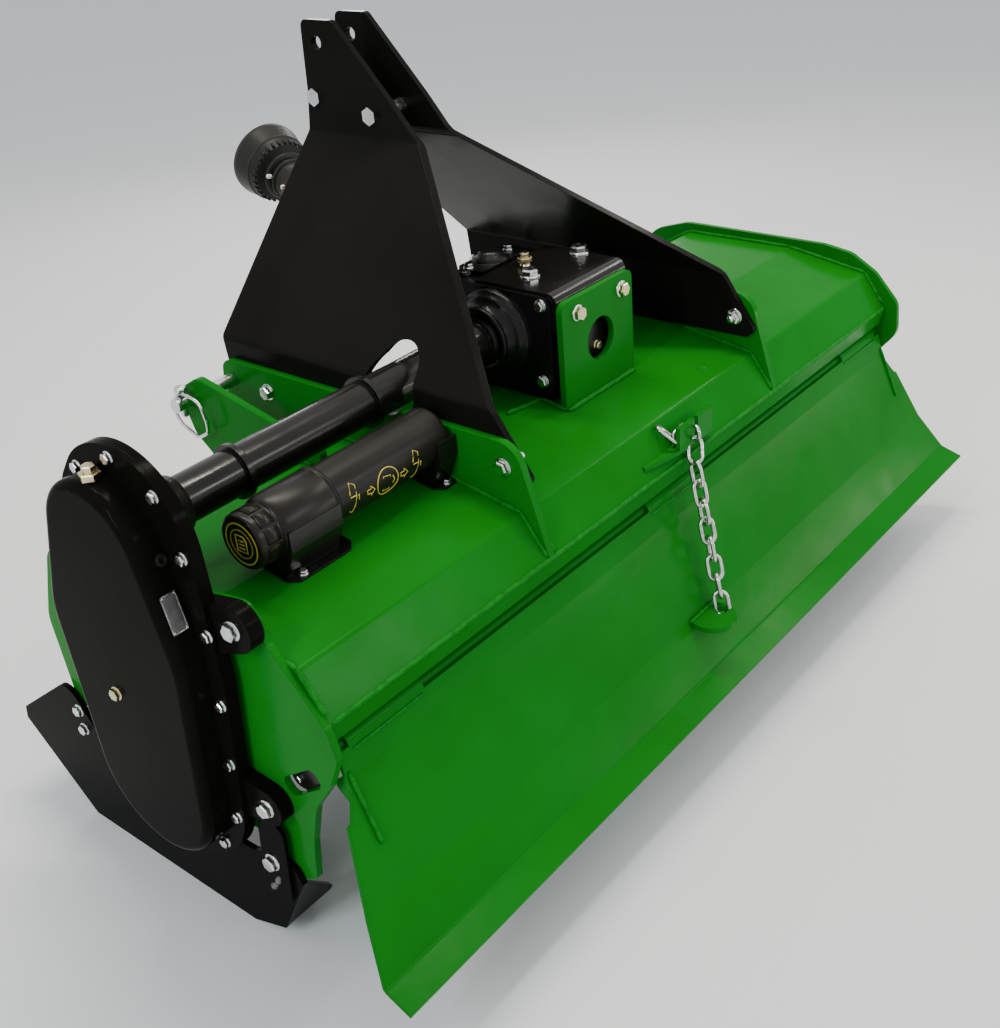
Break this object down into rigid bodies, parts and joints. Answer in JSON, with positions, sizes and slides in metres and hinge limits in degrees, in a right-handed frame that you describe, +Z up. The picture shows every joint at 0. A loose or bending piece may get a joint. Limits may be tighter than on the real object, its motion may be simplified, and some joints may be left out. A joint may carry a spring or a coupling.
{
  "type": "three-point rotary tiller",
  "caption": "Tractor-mounted rotary tiller with side gear drive, bladed rotor under a folded hood, skids, hinged rear flap on a chain, hitch mast and telescopic driveline.",
  "frame": {"origin": "on the ground, under the middle of the machine's box", "axes": "+X is the operator's right, +Y forward to the tractor, +Z up"},
  "size_m": [1.581, 1.207, 1.038],
  "materials": {
    "green_paint": "gloss enamel",
    "black_paint": "gloss enamel",
    "zinc": "zinc plated",
    "dark_steel": "oiled forging",
    "dark_plastic": "smooth",
    "guard_plastic": "smooth"
  },
  "bodies": {
    "root": {"deck": "green_paint", "hinge_rail": "green_paint", "end_plate_left": "green_paint", "end_plate_right": "green_paint", "rib_left": "green_paint", "rib_right": "green_paint", "ear_left": "green_paint", "ear_right": "green_paint", "lower_pin_left": "zinc", "lower_pin_right": "zinc", "mast_plate_left": "black_paint", "mast_plate_right": "black_paint", "mast_spacers": "zinc", "driveline_hook": "black_paint", "gearbox": "black_paint", "gearbox_bracket": "black_paint", "gearbox_support": "green_paint", "input_shaft": "dark_steel", "drive_tube": "black_paint", "case_body": "black_paint", "case_cover": "black_paint", "case_lugs": "black_paint", "bearing_hub": "black_paint", "skid_left": "black_paint", "skid_right": "black_paint", "skid_bracket_left": "black_paint", "skid_bracket_right": "black_paint", "hinge_rod": "zinc", "chain_bracket": "green_paint", "chain_tail": "zinc", "canister": "dark_plastic", "canister_cap": "dark_plastic", "canister_feet": "black_paint", "flap_chain": "zinc"},
    "rotor": {"rotor_tube": "black_paint", "rotor_discs": "black_paint", "tines_left": "black_paint", "tines_right": "black_paint"},
    "flap": {"flap": "green_paint", "flap_lug": "green_paint"},
    "driveline": {"rear_cross": "dark_steel", "guard_rear": "guard_plastic"},
    "driveline_front": {"guard_front": "guard_plastic", "front_yoke": "dark_steel"}
  },
  "joints": [
    {"name": "rotor_spin", "type": "hinge", "parent": "root", "child": "rotor", "pos_m": [0.00051, -0.16946, 0.255], "axis": [1, 0, 0], "continuous": true},
    {"name": "flap_hinge", "type": "hinge", "parent": "root", "child": "flap", "pos_m": [0.00051, -0.43946, 0.376], "axis": [1, 0, 0], "range_deg": [-70, 0], "deforming": ["flap_chain"]},
    {"name": "driveline_lift", "type": "hinge", "parent": "root", "child": "driveline", "pos_m": [0.02851, 0.03654, 0.603], "axis": [1, 0, 0], "range_deg": [0, 15]},
    {"name": "driveline_slide", "type": "slide", "parent": "driveline", "child": "driveline_front", "axis": [0.2385, 0.9376, 0.253], "range_m": [0, 0.12]}
  ]
}
